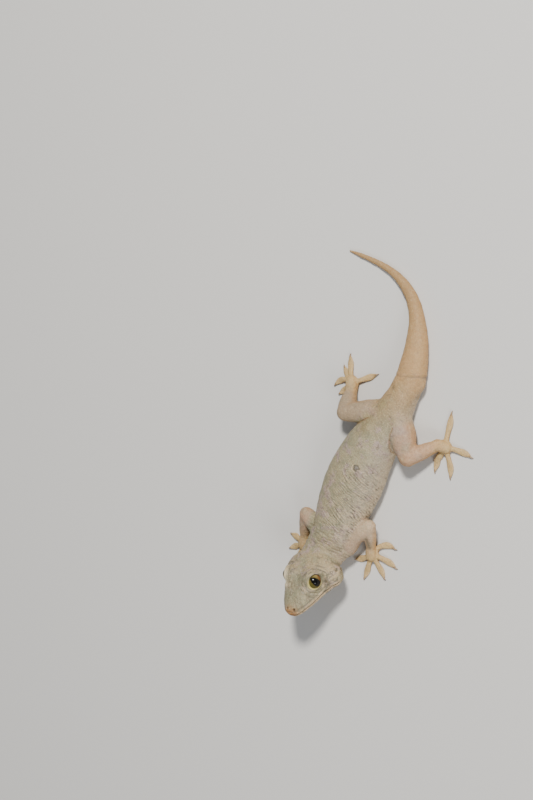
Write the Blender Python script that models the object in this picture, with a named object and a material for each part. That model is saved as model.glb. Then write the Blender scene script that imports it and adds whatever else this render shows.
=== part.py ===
"""A yellow-green house gecko at life size, resting on its belly, feet and tail, its head raised.

Metres, +Z up. The head points towards -Y and the animal's left side is +X. The origin is on the floor,
under the middle of the belly. Every size in the tables is in millimetres and passes through MM.
"""

import bmesh
import bpy
import numpy as np
from math import cos, radians, sin
from mathutils import Matrix, Vector

MM = 0.001
GAP = 0.3  # what two touching nodes keep between them
ROUNDNESS = 0.92  # 1 makes an ellipse of a cross-section, less makes it squarer

# The head axis runs along the mouth line, from the tip of the snout to the nape.
SNOUT_TIP = (8.8, -42.5, 19.0)
HEAD_TURN = 20.0  # degrees to the animal's left
HEAD_LIFT = 36.0  # degrees that the snout is raised
HEAD_ROLL = -9.0  # degrees that the head leans, below 0 to its right side
HEAD_LENGTH = 20.4
MOUTH_LENGTH = 15.5
MOUTH_DEPTH = 0.4
MOUTH_DEPTH_SHARE = 0.3  # the most of the head's half width that the mouth line cuts in
MOUTH_END = 1.5  # over which the mouth line runs out at its corner
LIP_SWELL = 0.12
LIP_REACH = 0.15  # how far above and below the mouth line the lips stand, as a share of the height
HEAD_RINGS = 30
SNOUT_CROWDING = 1.25  # above 1 the rings stand closer together at the snout

# Each row: distance from the snout tip, half width, rise above the mouth line, drop below it.
HEAD_SECTIONS = (
    (0.0, 0.7, 0.6, 0.6),
    (0.35, 1.8, 1.4, 1.2),
    (1.3, 2.9, 2.1, 1.65),
    (3.1, 4.2, 2.85, 2.1),
    (5.7, 5.7, 3.75, 2.5),
    (8.5, 6.9, 4.7, 2.95),
    (11.4, 8.2, 5.4, 3.2),
    (14.3, 8.9, 5.7, 3.6),
    (16.6, 8.9, 5.6, 3.85),
    (18.7, 8.1, 5.4, 4.0),
    (20.4, 6.9, 5.1, 4.1),
)
# Where the points of a head ring stand, in degrees up from the mouth line on one side.
HEAD_ANGLES = (0, 7, 20, 35, 50, 65, 80, 100, 115, 130, 145, 160, 173)
HEAD_UNDER_ANGLES = (180, 187, 205, 230, 255, 285, 310, 335, 353)

# Swellings of the head, on both sides: centre (side, back, up), reach, and how far they stand out.
HEAD_SWELLS = (
    ((3.4, 11.2, 5.0), 2.7, 2.0),  # brow
    ((6.9, 10.9, 1.7), 1.8, -0.4),  # hollow under the eye
    ((2.2, 5.0, 3.6), 1.8, 0.25),  # ridge from the nostril to the eye
    ((4.4, 6.5, 2.6), 2.0, -0.35),  # hollow in front of the eye
    ((8.6, 16.2, -2.1), 3.6, 1.9),  # jaw muscle
)

EYE_CENTRE = (4.3, 11.3, 3.7)
EYE_RADIUS = 2.5
EYE_LOOK = (0.92, -0.22, 0.33)  # which way the eye faces: side, back, up
EYE_SET = 1.0  # from the eye's centre to the plane of its rim
RIM_THICKNESS = 0.8
EAR_CENTRE = (8.6, 18.9, -0.6)
EAR_RADII = (1.6, 0.7, 1.1)
NOSTRIL_CENTRE = (1.6, 1.1, 1.8)
NOSTRIL_RADIUS = 0.5

# Each row: x, y and z of the body's axis, half width, rise above the axis, drop below it.
BODY_SECTIONS = (
    (2.6, -18.2, 5.9, 7.3, 5.6, 4.6),
    (0.8, -10.3, 5.1, 8.6, 6.6, 5.0),
    (-0.7, 0.0, 4.6, 9.5, 7.7, 4.9),
    (-1.3, 11.0, 4.6, 8.35, 7.3, 4.8),
    (-0.7, 20.0, 4.7, 6.9, 6.2, 4.8),
    (-0.7, 27.0, 4.7, 5.5, 5.2, 4.8),
    (-1.0, 32.0, 4.2, 4.7, 4.4, 4.4),
    (-1.5, 35.8, 3.8, 4.75, 3.8, 3.9),
    (-2.9, 40.2, 3.6, 4.3, 3.7, 3.8),
    (-6.2, 46.9, 2.9, 3.4, 3.0, 3.1),
    (-9.8, 51.9, 2.2, 2.5, 2.3, 2.4),
    (-15.0, 56.5, 1.7, 1.95, 1.8, 1.9),
    (-20.0, 58.7, 1.4, 1.55, 1.4, 1.6),
    (-25.5, 59.6, 1.1, 1.15, 1.1, 1.3),
    (-31.5, 59.3, 0.85, 0.9, 0.85, 1.0),
    (-38.0, 58.2, 0.65, 0.65, 0.6, 0.75),
    (-42.3, 57.2, 0.45, 0.3, 0.3, 0.4),
)
NECK_BEND = 9.0  # the length over which the body turns out of the way that the head runs
AXIS_STEP = 0.01
LEGS_END = 75.0  # along the axis, well behind the hips

# Where each length of the body ends along its axis from the back of the head, how many rings it has,
# and how many points each ring.
BODY_NODES = (
    ("neck", 4.0, 4, 24),
    ("torso", 63.2, 32, 24),
    ("tail_base", 81.0, 12, 20),
    ("tail_middle", 98.5, 12, 16),
    ("tail_tip", None, 12, 12),
)

# A limb's root: distance along the body's axis, share of the half width, height.
# Then the joints (x, y, z), the middle of the palm or sole, and the thickness of each length.
LIMBS = {
    "arm_left": {
        "root": (6.2, 0.44, 5.6),
        "middle": (11.5, -8.6, 6.4),
        "end": (14.1, -15.7, 2.4),
        "palm": (14.8, -17.4, 1.2),
        "radii": (4.2, 2.9, 2.2),
        "lower_radii": (2.1, 2.0, 1.4),
    },
    "arm_right": {
        "root": (7.0, -0.3, 6.0),
        "middle": (-9.3, -19.0, 5.5),
        "end": (-7.6, -27.0, 2.3),
        "palm": (-6.9, -29.3, 1.2),
        "radii": (3.4, 3.0, 2.3),
        "lower_radii": (2.1, 2.0, 1.4),
    },
    "leg_left": {
        "root": (52.4, 0.34, 5.6),
        "middle": (11.5, 16.8, 6.6),
        "end": (16.3, 24.6, 2.6),
        "palm": (17.8, 24.8, 1.3),
        "radii": (4.2, 4.3, 2.7),
        "lower_radii": (2.6, 2.4, 1.6),
    },
    "leg_right": {
        "root": (52.0, -0.3, 5.4),
        "middle": (-13.4, 16.6, 7.6),
        "end": (-17.6, 21.7, 2.6),
        "palm": (-19.2, 23.4, 1.3),
        "radii": (3.6, 3.7, 2.7),
        "lower_radii": (2.7, 2.7, 1.7),
    },
}
LIMB_MIDDLE = 0.45  # where along a length its second thickness stands
LIMB_RINGS = 6
WRIST_OVERLAP = 0.5
PALM_REACH = 0.6  # how far the back of the hand runs past the middle of the palm
HAND_SWELL = 0.3  # how much thicker the wrist becomes inside the hand
HAND_END_RADIUS = 1.84
PALM_RADIUS = 2.3
PALM_HEIGHT = 1.2

# The tip (x, y) of each toe, from the innermost to the outermost, and how far it bows to its left.
TOE_TIPS = {
    "arm_left": (
        (10.2, -23.0, 0.5),
        (16.5, -26.5, 0.0),
        (22.7, -21.8, 0.0),
        (24.3, -16.4, 0.4),
        (21.0, -11.5, 2.0),
    ),
    "arm_right": (
        (-2.6, -32.6, 0.0),
        (-6.6, -36.4, 0.0),
        (-11.2, -34.6, 0.0),
        (-13.4, -30.0, 0.0),
        (-11.9, -24.6, 0.4),
    ),
    "leg_left": (
        (16.6, 18.9, 0.6),
        (19.1, 15.8, -0.8),
        (24.4, 17.1, 0.6),
        (27.1, 27.0, 0.4),
        (13.8, 35.1, 0.0),
    ),
    "leg_right": (
        (-21.9, 17.3, 0.0),
        (-24.6, 18.6, -1.6),
        (-25.1, 26.3, 0.5),
        (-25.0, 30.6, 0.4),
        (-13.2, 30.6, 0.0),
    ),
}
# Each row of a toe: share of its length, half width, half height, height of its middle.
TOE_SECTIONS = (
    (0.00, 0.95, 0.80, 1.05),
    (0.25, 0.72, 0.62, 1.05),
    (0.45, 0.80, 0.52, 0.75),
    (0.60, 1.15, 0.48, 0.42),
    (0.72, 1.25, 0.45, 0.38),
    (0.80, 0.95, 0.42, 0.38),
    (0.85, 0.45, 0.38, 0.50),
    (0.93, 0.34, 0.34, 0.62),
    (1.00, 0.10, 0.14, 0.24),
)
TOE_POINTS = 8
LIMB_POINTS = 14
DOME_ANGLES = (25, 50, 72)  # where the rings of a limb's round end stand
FLOOR_SIZE = 200.0

SKIN = ("greenish grey skin", (0.36, 0.33, 0.25), 0.62)
LIMB_SKIN = ("pale orange skin", (0.47, 0.36, 0.27), 0.62)
TAIL_SKIN = ("tan tail skin", (0.50, 0.37, 0.25), 0.62)
EYE = ("olive gold eye", (0.30, 0.24, 0.10), 0.08)


def curve_through(rows, start_slope=None):
    """A smooth function through table rows, and its length, measured along their first three columns."""
    rows = np.array(rows, float)
    steps = np.linalg.norm(np.diff(rows[:, :3], axis=0), axis=1)
    knots = np.concatenate([[0], np.cumsum(steps)])
    slopes = np.gradient(rows, knots, axis=0)
    if start_slope is not None:
        slopes[0, :3] = start_slope

    def at(distance):
        index = int(np.clip(np.searchsorted(knots, distance) - 1, 0, len(steps) - 1))
        span = knots[index + 1] - knots[index]
        u = (distance - knots[index]) / span
        start, end = rows[index], rows[index + 1]
        bend = u * (1 - u) * span * ((1 - u) * slopes[index] - u * slopes[index + 1])
        return start + (3 * u * u - 2 * u**3) * (end - start) + bend

    return at, knots[-1]


def section(width, rise, drop, angles):
    """Points (across, up) of a rounded cross-section at the given angles, in degrees."""
    turn = np.radians(angles)
    across = np.sign(np.cos(turn)) * np.abs(np.cos(turn)) ** ROUNDNESS
    up = np.sign(np.sin(turn)) * np.abs(np.sin(turn)) ** ROUNDNESS
    return np.stack([across * width, np.where(up > 0, rise, drop) * up], axis=1)


def even_angles(count):
    return np.arange(count) * 360.0 / count


def axes_along(direction):
    """The side and up directions of a ring that faces along a direction."""
    forward = Vector(direction).normalized()
    side = forward.cross(Vector((0, 0, 1))).normalized()
    return side, side.cross(forward)


def object_from(shape, name):
    """A new object in the scene from an edited shape, which is freed."""
    mesh = bpy.data.meshes.new(name)
    shape.to_mesh(mesh)
    shape.free()
    obj = bpy.data.objects.new(name, mesh)
    bpy.context.scene.collection.objects.link(obj)
    return obj


def loft(name, rings, on_floor=False):
    """A closed skin over rings of equal numbers of points, flattened where it would pass the floor."""
    shape = bmesh.new()
    loops = []
    for ring in rings:
        points = [Vector(point) for point in ring]
        if on_floor:
            points = [Vector((p.x, p.y, max(p.z, 0.0))) for p in points]
        loops.append([shape.verts.new(p * MM) for p in points])
    for near, far in zip(loops, loops[1:]):
        for k in range(len(near)):
            after = (k + 1) % len(near)
            shape.faces.new((near[k], near[after], far[after], far[k]))
    shape.faces.new(loops[0])
    shape.faces.new(loops[-1])
    bmesh.ops.recalc_face_normals(shape, faces=shape.faces)
    return object_from(shape, name)


def in_metres(frame):
    """The same turn as a frame in millimetres, with its place in metres."""
    scaled = frame.copy()
    scaled.translation = frame.translation * MM
    return scaled


def in_part(frame, points):
    return [frame @ Vector(point) for point in points]


def head_frame():
    """Matrix from head coordinates (left, back from the snout tip, up from the mouth line) to the part."""
    turn = Matrix.Rotation(radians(HEAD_TURN), 4, "Z")
    lift = Matrix.Rotation(radians(-HEAD_LIFT), 4, "X")
    roll = Matrix.Rotation(radians(HEAD_ROLL), 4, "Y")
    return Matrix.Translation(SNOUT_TIP) @ turn @ lift @ roll


def head_direction():
    """Which way the head runs, from the snout towards the nape."""
    return head_frame().to_3x3() @ Vector((0, 1, 0))


def head_table(back):
    """Half width, rise and drop of the head at a distance from the snout tip."""
    rows = np.array(HEAD_SECTIONS)
    slopes = np.gradient(rows[:, 1:], rows[:, 0], axis=0)
    index = int(np.clip(np.searchsorted(rows[:, 0], back) - 1, 0, len(rows) - 2))
    span = rows[index + 1, 0] - rows[index, 0]
    u = (back - rows[index, 0]) / span
    start, end = rows[index, 1:], rows[index + 1, 1:]
    bend = u * (1 - u) * span * ((1 - u) * slopes[index] - u * slopes[index + 1])
    return start + (3 * u * u - 2 * u**3) * (end - start) + bend


def swelling(point):
    """How far the head's surface stands out at a point, from its brow, ridges, hollows and jaw."""
    total = 0.0
    for centre, reach, height in HEAD_SWELLS:
        away = np.array((abs(point[0]), point[1], point[2])) - centre
        total += height * np.exp(-np.dot(away, away) / reach**2)
    return total


def head_ring(back):
    """One ring of the head, drawn in along the mouth line and swollen at the lips beside it."""
    angles = np.array(HEAD_ANGLES + HEAD_UNDER_ANGLES, float)
    width, rise, drop = head_table(back)
    open_share = np.clip((MOUTH_LENGTH - back) / MOUTH_END, 0, 1)
    points = []
    for (across, up), angle in zip(section(width, rise, drop, angles), angles):
        out = swelling((across, back, up))
        if angle in (0, 180):
            out -= open_share * min(MOUTH_DEPTH, MOUTH_DEPTH_SHARE * width)
        elif abs(np.sin(np.radians(angle))) < LIP_REACH:
            out += open_share * LIP_SWELL
        radius = np.hypot(across, up)
        grow = 1 + out / radius
        points.append((across * grow, back, up * grow))
    return points


def ball(name, centre, radii, frame, look=(1, 0, 0), segments=16, rings=10):
    """An ellipsoid in head coordinates, its first radius along the way it looks."""
    shape = bmesh.new()
    bmesh.ops.create_uvsphere(shape, u_segments=segments, v_segments=rings, radius=MM)
    turn = Vector((1, 0, 0)).rotation_difference(Vector(look)).to_matrix().to_4x4()
    place = Matrix.Translation(Vector(centre) * MM) @ turn @ Matrix.Diagonal((*radii, 1))
    bmesh.ops.transform(shape, matrix=in_metres(frame) @ place, verts=shape.verts)
    return object_from(shape, name)


def eye_rim(side, frame):
    """The raised ring of skin round an eye."""
    look = Vector(mirrored(EYE_LOOK, side)).normalized()
    socket = EYE_RADIUS + GAP
    radius = (socket**2 - EYE_SET**2) ** 0.5 + RIM_THICKNESS / 4
    centre = Vector(mirrored(EYE_CENTRE, side)) + look * EYE_SET
    turn = Vector((0, 0, 1)).rotation_difference(look).to_matrix().to_4x4()
    bpy.ops.mesh.primitive_torus_add(
        major_segments=20,
        minor_segments=8,
        major_radius=radius * MM,
        minor_radius=RIM_THICKNESS / 2 * MM,
    )
    rim = bpy.context.object
    rim.data.transform(in_metres(frame) @ Matrix.Translation(centre * MM) @ turn)
    return rim


def mirrored(point, side):
    return (point[0] * side, point[1], point[2])


def boolean(obj, others, operation):
    """Joins other shapes to a shape or cuts them from it, and removes them."""
    pieces = bpy.data.collections.new("pieces of " + obj.name)
    for other in others:
        pieces.objects.link(other)
    modifier = obj.modifiers.new(operation, "BOOLEAN")
    modifier.operation = operation
    modifier.operand_type = "COLLECTION"
    modifier.collection = pieces
    modifier.solver = "EXACT"
    graph = bpy.context.evaluated_depsgraph_get()
    mesh = bpy.data.meshes.new_from_object(obj.evaluated_get(graph))
    obj.modifiers.clear()
    obj.data = mesh
    for other in others:
        bpy.data.objects.remove(other)
    bpy.data.collections.remove(pieces)


def keep_largest(obj):
    """Drops every closed surface of the mesh but the one that reaches furthest."""
    shape = bmesh.new()
    shape.from_mesh(obj.data)
    left = set(shape.verts)
    islands = []
    while left:
        island = {left.pop()}
        edge = list(island)
        while edge:
            vert = edge.pop()
            near = {e.other_vert(vert) for e in vert.link_edges} - island
            island |= near
            edge.extend(near)
        left -= island
        islands.append(island)
    islands.sort(key=extent, reverse=True)
    for island in islands[1:]:
        bmesh.ops.delete(shape, geom=list(island), context="VERTS")
    shape.to_mesh(obj.data)
    shape.free()


def extent(verts):
    """The squared diagonal of the box round some points."""
    low = [min(v.co[axis] for v in verts) for axis in range(3)]
    high = [max(v.co[axis] for v in verts) for axis in range(3)]
    return sum((b - a) ** 2 for a, b in zip(low, high))


def cut_at_floor(obj):
    """Gives the shape flat soles at the level of the floor."""
    bpy.ops.mesh.primitive_cube_add(size=FLOOR_SIZE * MM, location=(0, 0, -FLOOR_SIZE / 2 * MM))
    boolean(obj, [bpy.context.object], "DIFFERENCE")


def make_head():
    frame = head_frame()
    reach = np.linspace(0, 1, HEAD_RINGS) ** SNOUT_CROWDING * HEAD_LENGTH
    head = loft("head", [in_part(frame, head_ring(back)) for back in reach])
    boolean(head, [eye_rim(side, frame) for side in (1, -1)], "UNION")
    holes = []
    for side in (1, -1):
        socket = EYE_RADIUS + GAP
        look = mirrored(EYE_LOOK, side)
        holes.append(ball("socket", mirrored(EYE_CENTRE, side), (socket,) * 3, frame, look))
        holes.append(ball("ear", mirrored(EAR_CENTRE, side), EAR_RADII, frame, (side, 0, 0), 12, 8))
        radii = (NOSTRIL_RADIUS,) * 3
        holes.append(ball("nostril", mirrored(NOSTRIL_CENTRE, side), radii, frame, (1, 0, 0), 10, 6))
    boolean(head, holes, "DIFFERENCE")
    keep_largest(head)
    return head


def make_eye(name, side):
    """An eyeball, which stands in its socket with the gap all round."""
    centre = mirrored(EYE_CENTRE, side)
    look = mirrored(EYE_LOOK, side)
    return ball(name, centre, (EYE_RADIUS,) * 3, head_frame(), look, 20, 12)


def body_axis():
    """The body's table as a smooth function of the distance along it, from the back of the head."""
    frame = head_frame()
    back = frame @ Vector((0, HEAD_LENGTH, 0))
    rows = [(*back, *head_table(HEAD_LENGTH))] + list(BODY_SECTIONS)
    return curve_through(rows, head_direction())


def body_direction(at, distance):
    """Which way the body runs. Over the neck this turns evenly from the way that the head runs."""
    place = max(distance, NECK_BEND)
    direction = Vector(at(place + AXIS_STEP)[:3] - at(place)[:3]).normalized()
    return head_direction().lerp(direction, min(distance / NECK_BEND, 1.0))


def body_ring(at, distance, count, grow=0.0):
    """One ring of the body, square to the way that it runs there."""
    x, y, z, width, rise, drop = at(distance)
    side, up = axes_along(body_direction(at, distance))
    points = section(width + grow, rise + grow, drop + grow, even_angles(count))
    return [Vector((x, y, z)) + side * across + up * height for across, height in points]


def body_length(name, start, end, rings, count, grow=0.0):
    """A closed length of the body, flat where it rests on the floor."""
    at, _ = body_axis()
    places = np.linspace(start, end, rings)
    return loft(name, [body_ring(at, place, count, grow) for place in places], on_floor=not grow)


def make_body():
    """The neck, the trunk and the tail, parted by thin cuts across the axis."""
    _, whole = body_axis()
    nodes = []
    start = 0.0
    for name, end, rings, count in BODY_NODES:
        last = end is None
        stop = whole if last else end - GAP / 2
        nodes.append(body_length(name, start + (GAP / 2 if nodes else GAP), stop, rings, count))
        start = end
    return nodes


def limb_length(name, start, end, radii, grow=0.0):
    """A tapering round length of limb with domed ends."""
    start, end = Vector(start), Vector(end)
    along = end - start
    side, up = axes_along(along)
    shares = np.linspace(0, 1, LIMB_RINGS)
    sizes = np.interp(shares, (0, LIMB_MIDDLE, 1), radii) + grow
    rings = [(start + along * share, size) for share, size in zip(shares, sizes)]
    for angle in DOME_ANGLES:
        back = along.normalized() * sizes[0] * sin(radians(angle))
        rings.insert(0, (start - back, sizes[0] * cos(radians(angle))))
        ahead = along.normalized() * sizes[-1] * sin(radians(angle))
        rings.append((end + ahead, sizes[-1] * cos(radians(angle))))
    return loft(name, [limb_ring(centre, side, up, size) for centre, size in rings])


def limb_ring(centre, side, up, size):
    points = section(size, size, size, even_angles(LIMB_POINTS))
    return [centre + side * across + up * height for across, height in points]


def make_toe(palm, tip_x, tip_y, bow):
    """One toe from the middle of the palm: a slim stem, a wide pad, a slim end and a hooked claw."""
    start, end = Vector((palm[0], palm[1], 0)), Vector((tip_x, tip_y, 0))
    along = end - start
    aside = Vector((-along.y, along.x, 0)).normalized()
    rings = []
    for share, width, height, middle in TOE_SECTIONS:
        centre = start + along * share + aside * bow * 4 * share * (1 - share)
        heading = along + aside * bow * 4 * (1 - 2 * share)
        side, up = axes_along(heading)
        centre.z = middle
        points = section(width, height, height, even_angles(TOE_POINTS))
        rings.append([centre + side * across + up * rise for across, rise in points])
    return loft("toe", rings)


def make_foot(name, limb):
    """Palm or sole, five toes and their claws, as one shape with flat soles."""
    sizes = LIMBS[limb]
    palm = Vector(sizes["palm"])
    wrist = Vector(sizes["end"])
    back = wrist + (wrist - palm).normalized() * WRIST_OVERLAP
    front = palm + Vector((palm.x - wrist.x, palm.y - wrist.y, 0)).normalized() * PALM_REACH
    radius = sizes["lower_radii"][-1]
    foot = limb_length(name, back, front, (radius, radius + HAND_SWELL, HAND_END_RADIUS))
    toes = [make_toe(sizes["palm"], *tip) for tip in TOE_TIPS[limb]]
    toes.append(make_palm(sizes["palm"]))
    boolean(foot, toes, "UNION")
    cut_at_floor(foot)
    return foot


def make_palm(centre):
    """The rounded pad under the middle of a hand or foot."""
    shape = bmesh.new()
    bmesh.ops.create_uvsphere(shape, u_segments=14, v_segments=8, radius=MM)
    size = Matrix.Diagonal((PALM_RADIUS, PALM_RADIUS, PALM_HEIGHT, 1))
    place = Matrix.Translation(Vector(centre) * MM)
    bmesh.ops.transform(shape, matrix=place @ size, verts=shape.verts)
    return object_from(shape, "palm")


def make_limb(limb):
    """Upper length, lower length and foot, each cut clear of what it grows from."""
    kind, side = limb.split("_")
    names = ("upper_arm", "forearm", "hand") if kind == "arm" else ("thigh", "shank", "foot")
    upper_name, lower_name, foot_name = (f"{name}_{side}" for name in names)
    sizes = LIMBS[limb]
    at, _ = body_axis()
    place, share, height = sizes["root"]
    root = Vector(at(place)[:3]) + Vector((at(place)[3] * share, 0, 0))
    root.z = height
    upper = limb_length(upper_name, root, sizes["middle"], sizes["radii"])
    lower = limb_length(lower_name, sizes["middle"], sizes["end"], sizes["lower_radii"])
    foot = make_foot(foot_name, limb)
    boolean(upper, [grown_trunk()], "DIFFERENCE")
    boolean(lower, [grown_trunk(), grown_upper(root, sizes)], "DIFFERENCE")
    boolean(foot, [grown_lower(sizes)], "DIFFERENCE")
    for piece in (upper, lower, foot):
        keep_largest(piece)
    return [upper, lower, foot]


def grown_trunk():
    """The trunk and neck made thicker by the gap, to cut the root of a limb."""
    _, _, rings, count = BODY_NODES[1]
    return body_length("trunk", 0.0, LEGS_END, rings + 10, count, GAP)


def grown_upper(root, sizes):
    """An upper arm or thigh made thicker by the gap, to cut what grows from it."""
    return limb_length("upper", root, sizes["middle"], sizes["radii"], GAP)


def grown_lower(sizes):
    """A forearm or shank made thicker by the gap, to cut the hand or foot."""
    return limb_length("lower", sizes["middle"], sizes["end"], sizes["lower_radii"], GAP)


def material(name, colour, roughness):
    """A matt or glossy surface in one colour."""
    new = bpy.data.materials.new(name)
    new.use_nodes = True
    shader = new.node_tree.nodes["Principled BSDF"]
    shader.inputs["Base Color"].default_value = (*colour, 1)
    shader.inputs["Roughness"].default_value = roughness
    shader.inputs["Metallic"].default_value = 0.0
    return new


def finish(obj, surface, collection):
    """Gives the shape its material, smooth shading and its place among the gecko's parts."""
    for holder in list(obj.users_collection):
        holder.objects.unlink(obj)
    collection.objects.link(obj)
    obj.data.materials.clear()
    obj.data.materials.append(surface)
    obj.data.shade_smooth()


def main():
    for obj in list(bpy.data.objects):
        bpy.data.objects.remove(obj)
    gecko = bpy.data.collections.new("yellow-green house gecko")
    bpy.context.scene.collection.children.link(gecko)
    skin, limb_skin, tail_skin, eye = (material(*look) for look in (SKIN, LIMB_SKIN, TAIL_SKIN, EYE))
    finish(make_head(), skin, gecko)
    finish(make_eye("eye_left", 1), eye, gecko)
    finish(make_eye("eye_right", -1), eye, gecko)
    for length in make_body():
        finish(length, tail_skin if length.name.startswith("tail") else skin, gecko)
    for limb in LIMBS:
        for piece in make_limb(limb):
            finish(piece, limb_skin, gecko)


main()
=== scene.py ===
# %% [markdown]
# # A yellow-green house gecko, life size
#
# They are plain lengths with small gaps between them. A real gecko wears one soft skin without seams, so
# this lesson grows that skin over the same named sizes, and adds the eyes and the claws as pieces of
# their own.

# %% Load the fixed frame
import json
from math import radians

import bpy
import numpy as np
from mathutils import Matrix, Vector


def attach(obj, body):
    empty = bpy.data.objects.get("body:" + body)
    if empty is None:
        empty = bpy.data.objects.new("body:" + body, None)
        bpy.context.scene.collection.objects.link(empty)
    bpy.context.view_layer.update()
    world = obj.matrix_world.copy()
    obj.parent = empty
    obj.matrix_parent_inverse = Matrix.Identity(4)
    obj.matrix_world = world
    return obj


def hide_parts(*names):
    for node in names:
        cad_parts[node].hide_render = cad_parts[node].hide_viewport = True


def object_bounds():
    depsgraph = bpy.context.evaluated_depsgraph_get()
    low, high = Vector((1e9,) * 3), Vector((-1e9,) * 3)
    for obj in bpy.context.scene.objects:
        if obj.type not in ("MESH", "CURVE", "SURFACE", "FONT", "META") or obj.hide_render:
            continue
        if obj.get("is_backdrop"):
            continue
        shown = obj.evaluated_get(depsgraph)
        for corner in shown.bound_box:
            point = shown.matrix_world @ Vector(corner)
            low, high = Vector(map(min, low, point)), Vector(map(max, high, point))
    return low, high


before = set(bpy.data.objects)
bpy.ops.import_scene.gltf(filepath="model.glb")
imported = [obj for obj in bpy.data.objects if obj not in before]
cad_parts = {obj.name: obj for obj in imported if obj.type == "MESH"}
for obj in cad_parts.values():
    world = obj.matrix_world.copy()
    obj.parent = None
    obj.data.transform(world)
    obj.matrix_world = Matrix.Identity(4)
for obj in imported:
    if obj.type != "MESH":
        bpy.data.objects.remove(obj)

MM = 0.001
cad_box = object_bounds()
print("solids:", [round(v / MM, 1) for corner in cad_box for v in corner], "mm")

# %% [markdown]
# ## The sizes of the animal
#
# The solids were made from the same named sizes, in millimetres: +Z is up, the head points towards -Y, and
# the animal's left side is +X. A table of cross-sections is enough for a smooth animal, because a curve
# through its rows gives all the others. Sculpting by hand would be freer, but a table can be corrected
# against a picture one number at a time.

# %% Sizes of the head
SNOUT_TIP = (8.8, -42.5, 19)
HEAD_TURN, HEAD_LIFT, HEAD_ROLL = 20, 36, -9
HEAD_LENGTH = 20.4
MOUTH_LENGTH = 15.5
ROUNDNESS = 0.92
# Distance from the snout tip, half width, rise above the mouth line, drop below it.
HEAD_SECTIONS = (
    (0, 0.7, 0.6, 0.6), (0.35, 1.8, 1.4, 1.2), (1.3, 2.9, 2.1, 1.65), (3.1, 4.2, 2.85, 2.1),
    (5.7, 5.7, 3.75, 2.5), (8.5, 6.9, 4.7, 2.95), (11.4, 8.2, 5.4, 3.2), (14.3, 8.9, 5.7, 3.6),
    (16.6, 8.9, 5.6, 3.85), (18.7, 8.1, 5.4, 4), (20.4, 6.9, 5.1, 4.1),
)
# Centre (side, back, up), reach, and how far the swelling stands out, on both sides of the head.
HEAD_SWELLS = (
    ((3.4, 11.2, 5), 2.7, 2),  # brow
    ((6.9, 10.9, 1.7), 1.8, -0.4),  # hollow under the eye
    ((2.2, 5, 3.6), 1.8, 0.25),  # ridge from the nostril to the eye
    ((4.4, 6.5, 2.6), 2, -0.35),  # hollow in front of the eye
    ((8.6, 16.2, -2.1), 3.6, 1.9),  # jaw muscle
)
EYE_CENTRE = np.array((4.3, 11.3, 3.7))
EYE_RADIUS = 2.5
EYE_LOOK = np.array((0.92, -0.22, 0.33))
EAR_CENTRE = (8.5, 18.7, -0.6)
NOSTRIL_CENTRE = (1.6, 1.1, 1.8)

# %% Sizes of the body and the tail
# x, y and z of the axis, half width, rise above the axis, drop below it.
BODY_SECTIONS = (
    (2.6, -18.2, 5.9, 7.3, 5.6, 4.6), (0.8, -10.3, 5.1, 8.6, 6.6, 5),
    (-0.7, 0, 4.6, 9.5, 7.7, 4.9), (-1.3, 11, 4.6, 8.35, 7.3, 4.8),
    (-0.7, 20, 4.7, 6.9, 6.2, 4.8), (-0.7, 27, 4.7, 5.5, 5.2, 4.8),
    (-1, 32, 4.2, 4.7, 4.4, 4.4), (-1.5, 35.8, 3.8, 4.75, 3.8, 3.9),
    (-2.9, 40.2, 3.6, 4.3, 3.7, 3.8), (-6.2, 46.9, 2.9, 3.4, 3, 3.1),
    (-9.8, 51.9, 2.2, 2.5, 2.3, 2.4), (-15, 56.5, 1.7, 1.95, 1.8, 1.9),
    (-20, 58.7, 1.4, 1.55, 1.4, 1.6), (-25.5, 59.6, 1.1, 1.15, 1.1, 1.3),
    (-31.5, 59.3, 0.85, 0.9, 0.85, 1), (-38, 58.2, 0.65, 0.65, 0.6, 0.75),
    (-42.3, 57.2, 0.45, 0.3, 0.3, 0.4),
)
NECK_BEND = 9
# The regrown tail starts behind a slanting line, after a bulge and a notch (left) and a pit (right).
TAIL_START = 64.5
TAIL_SLANT = 0.21
TAIL_BULGE = (3, 36.6, 3.6)
TAIL_NOTCH = (3.6, 33.2, 3.4)
TAIL_PIT = (-3.7, 32.1, 7.9)
# The left upper arm leaves the trunk at the shoulder, behind a small flap of skin, and folds at the elbow.
# A painted shadow of the flap darkens the crook of the elbow along a line.
SHOULDER = (10.8, -17)
SHOULDER_FLAP = (11, -18.9, 5.5)
ELBOW_SHADOW_LINE = ((12.9, -12.4, 6.4), (14.3, -15, 4.4))
# The brow over the right eye stands out, and a painted highlight makes it pale along a line (x, y).
BROW_BULGE = (0.6, -36.4, 17)
BROW_HIGHLIGHT_LINE = ((-0.9, -33.4), (1.4, -37.2))
# Centre, reach and height of the single swellings and hollows.
LUMPS = (
    (TAIL_BULGE, 1.7, 0.45),
    (TAIL_NOTCH, 1.3, -0.6),
    (TAIL_PIT, 0.8, -0.5),
    (BROW_BULGE, 1.4, 0.65),
    (SHOULDER_FLAP, 2.6, 0.9),
)
# The olive streak beside the spine, before the hips (x, y), and the small round spot on the back.
OLIVE_LINE = ((-4.5, 17), (-1.5, 33.5))
SPOT_CENTRE = (0.8, 6.3, 12)
SPOT_RADII = (0.95, 1, 3)
WRINKLE_SLANT, WRINKLE_GAP = 0.36, 0.9
# Where the flank's skin folds against the thighs (x, y).
HIP_CREASES = (
    ((3.9, 22.6), (4.2, 20.1), (4.7, 18.3), (5.5, 16.5), (6.4, 15.2), (7.6, 14.2)),
    ((-5, 20.6), (-7.6, 16.6), (-9.8, 12.8)),
)

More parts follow.
